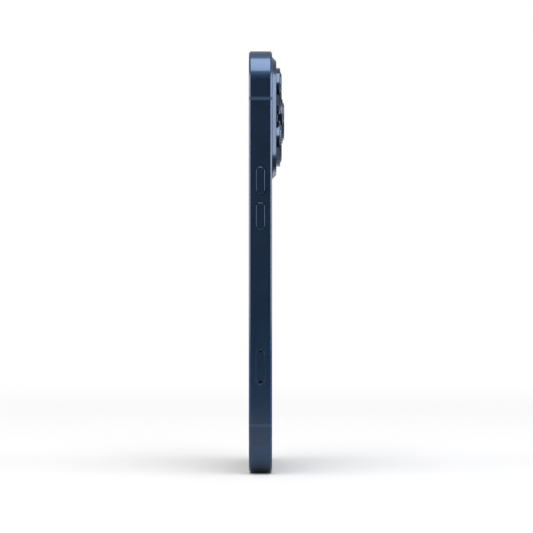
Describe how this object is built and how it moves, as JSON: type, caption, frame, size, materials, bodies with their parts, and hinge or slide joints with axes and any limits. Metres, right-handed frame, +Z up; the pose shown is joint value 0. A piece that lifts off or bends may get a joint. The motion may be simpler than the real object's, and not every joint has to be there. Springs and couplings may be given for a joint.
{
  "type": "smartphone",
  "caption": "Slab phone with flat metal sides, a raised square camera plateau with stepped lens rings, two pill-shaped volume buttons and a card tray.",
  "frame": {"origin": "middle of the bottom edge, half way through the thickness of the slab (camera rings left out)", "axes": "+Z up along the height, the screen faces -Y, the back and its cameras face +Y, and +X is the right-hand side as seen by someone looking at the screen"},
  "size_m": [0.072, 0.0125, 0.148],
  "materials": {
    "blue_metal": "fine bead-blasted and anodised, dark blue, satin",
    "break_plastic": "moulded, satin, a little lighter than the metal",
    "screen_glass": "polished black-backed glass",
    "blue_back_glass": "etched frosted glass over blue ink",
    "lens_glass": "clear sapphire with a dark coating",
    "flash_lens": "clear moulded lens with faint rings",
    "dark_window": "polished black window",
    "black_rubber": "adhesive foam, matte",
    "screen_panel": "laminated display, off, black",
    "black_plastic": "moulded, fine grain",
    "camera_black": "blackened, matte",
    "bare_aluminium": "machined",
    "steel": "stamped sheet, bright",
    "steel_mesh": "blackened woven mesh",
    "circuit_board": "solder mask, dark green",
    "battery_foil": "black laminated pouch, satin",
    "copper": "lacquered copper wire",
    "magnet": "nickel plated",
    "white_card": "printed card with no marks, satin"
  },
  "bodies": {
    "phone": {"band_top": "blue_metal", "band_bottom": "blue_metal", "rail_right": "blue_metal", "rail_left": "blue_metal", "antenna_break_lower_right": "break_plastic", "antenna_break_lower_left": "break_plastic", "antenna_break_upper_right": "break_plastic", "antenna_break_upper_left": "break_plastic", "front_glass": "screen_glass", "display_seal": "black_rubber", "display_panel": "screen_panel", "mid_plate": "bare_aluminium", "front_camera": "camera_black", "earpiece_speaker": "black_plastic", "earpiece_mesh": "steel_mesh", "back_glass": "blue_back_glass", "back_seal": "black_rubber", "lens_ring_upper": "blue_metal", "lens_ring_lower": "blue_metal", "lens_ring_far": "blue_metal", "lens_cover_upper": "lens_glass", "lens_cover_lower": "lens_glass", "lens_cover_far": "lens_glass", "camera_module_upper": "camera_black", "camera_module_lower": "camera_black", "camera_module_far": "camera_black", "camera_bracket": "steel", "flash_window": "flash_lens", "depth_sensor_window": "dark_window", "flash_board": "circuit_board", "depth_sensor": "camera_black", "volume_switches": "steel", "side_switch": "steel", "card_reader": "steel", "main_board": "circuit_board", "board_shield": "steel", "battery": "battery_foil", "charging_coil": "copper", "coil_magnets": "magnet", "charging_port": "steel", "port_tongue": "black_plastic", "loudspeaker": "black_plastic", "haptic_case": "steel", "haptic_spring_left": "steel", "haptic_spring_right": "steel", "board_screws": "steel", "bottom_screws": "steel", "dust_meshes": "steel_mesh"},
    "volume_up_button": {"volume_up_button": "blue_metal"},
    "volume_down_button": {"volume_down_button": "blue_metal"},
    "side_button": {"side_button": "blue_metal"},
    "eject_rod": {"eject_rod": "steel"},
    "eject_lever": {"eject_lever": "steel"},
    "eject_kicker": {"eject_kicker": "steel"},
    "card_tray": {"card_tray": "blue_metal", "access_card": "white_card"},
    "haptic_mass": {"haptic_mass": "steel"},
    "lens_barrel_upper": {"lens_barrel_upper": "camera_black"},
    "lens_barrel_lower": {"lens_barrel_lower": "camera_black"},
    "lens_barrel_far": {"lens_barrel_far": "camera_black"}
  },
  "joints": [
    {"name": "volume_up_button_press", "type": "slide", "parent": "phone", "child": "volume_up_button", "axis": [-1, 0, 0], "range_m": [0, 0.0002], "stiffness_N_per_m": 8000},
    {"name": "volume_down_button_press", "type": "slide", "parent": "phone", "child": "volume_down_button", "axis": [-1, 0, 0], "range_m": [0, 0.0002], "stiffness_N_per_m": 8000},
    {"name": "side_button_press", "type": "slide", "parent": "phone", "child": "side_button", "axis": [1, 0, 0], "range_m": [0, 0.0002], "stiffness_N_per_m": 8000},
    {"name": "eject_push", "type": "slide", "parent": "phone", "child": "eject_rod", "axis": [-1, 0, 0], "range_m": [0, 0.0016]},
    {"name": "eject_lever_turn", "type": "hinge", "parent": "phone", "child": "eject_lever", "pos_m": [0.01525, 0, 0.03532], "axis": [0, 1, 0], "range_deg": [0, 30.46]},
    {"name": "eject_kick", "type": "slide", "parent": "phone", "child": "eject_kicker", "axis": [1, 0, 0], "range_m": [0, 0.0016]},
    {"name": "tray_slide", "type": "slide", "parent": "eject_kicker", "child": "card_tray", "axis": [1, 0, 0], "range_m": [0, 0.0185]},
    {"name": "haptic_shake", "type": "slide", "parent": "phone", "child": "haptic_mass", "axis": [1, 0, 0], "range_m": [-0.0004, 0.0004], "stiffness_N_per_m": 4000, "deforming": ["haptic_spring_left", "haptic_spring_right"]},
    {"name": "focus_upper", "type": "slide", "parent": "phone", "child": "lens_barrel_upper", "axis": [0, 1, 0], "range_m": [0, 0.0003], "stiffness_N_per_m": 60},
    {"name": "focus_lower", "type": "slide", "parent": "phone", "child": "lens_barrel_lower", "axis": [0, 1, 0], "range_m": [0, 0.0003], "stiffness_N_per_m": 60},
    {"name": "focus_far", "type": "slide", "parent": "phone", "child": "lens_barrel_far", "axis": [0, 1, 0], "range_m": [0, 0.0003], "stiffness_N_per_m": 60}
  ],
  "couplings": [
    {"joint": "eject_lever_turn", "follows": "eject_push", "rad_per_m": 331.75},
    {"joint": "eject_kick", "follows": "eject_push", "ratio": 1}
  ]
}
